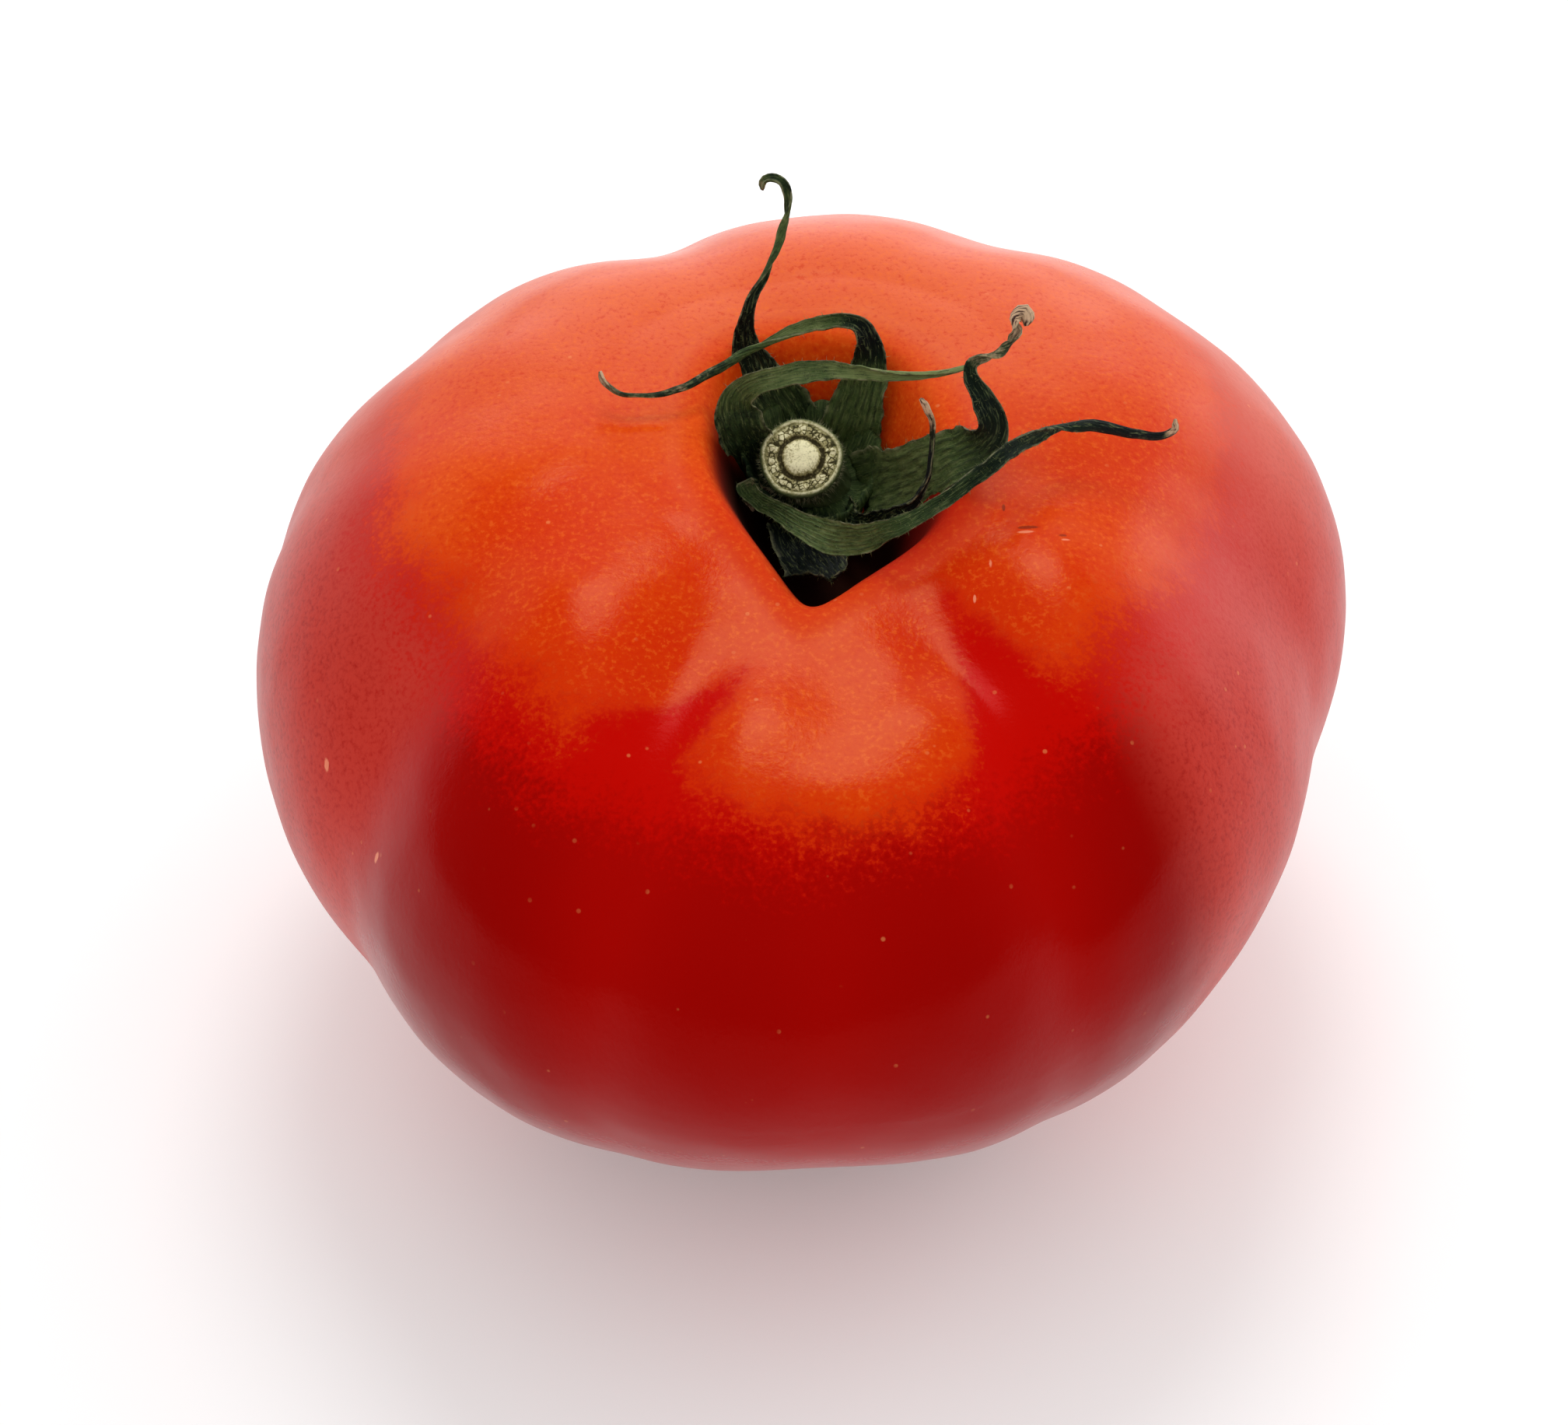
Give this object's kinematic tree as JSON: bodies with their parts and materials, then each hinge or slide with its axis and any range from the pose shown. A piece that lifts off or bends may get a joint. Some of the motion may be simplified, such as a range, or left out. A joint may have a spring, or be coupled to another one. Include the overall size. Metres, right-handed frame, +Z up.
{
  "type": "tomato",
  "caption": "Large ribbed red tomato resting on its flat underside, with a dried green calyx of curled sepals and a short cut stem in the top hollow.",
  "frame": {"origin": "middle of the flat spot that the fruit rests on, on the supporting surface", "axes": "+Z up, -Y the fruit's front, towards which the cut stem leans, +X to the fruit's right as seen from the front"},
  "size_m": [0.0937, 0.0962, 0.0758],
  "materials": {
    "tomato_skin": "thin smooth waxy skin, satin, deep red with orange shoulders",
    "calyx_green": "wilted, dull, veined leaf, dark green going brown at the tips",
    "stem_green": "dull hairy green stem with a pale cut face"
  },
  "bodies": {
    "root": {"fruit": "tomato_skin", "calyx_disc": "calyx_green", "stem_stub": "stem_green", "sepal_back_left": "calyx_green", "sepal_back": "calyx_green", "sepal_left": "calyx_green", "sepal_right": "calyx_green", "sepal_front_right": "calyx_green", "sepal_front": "calyx_green", "sepal_small": "calyx_green"}
  },
  "joints": []
}
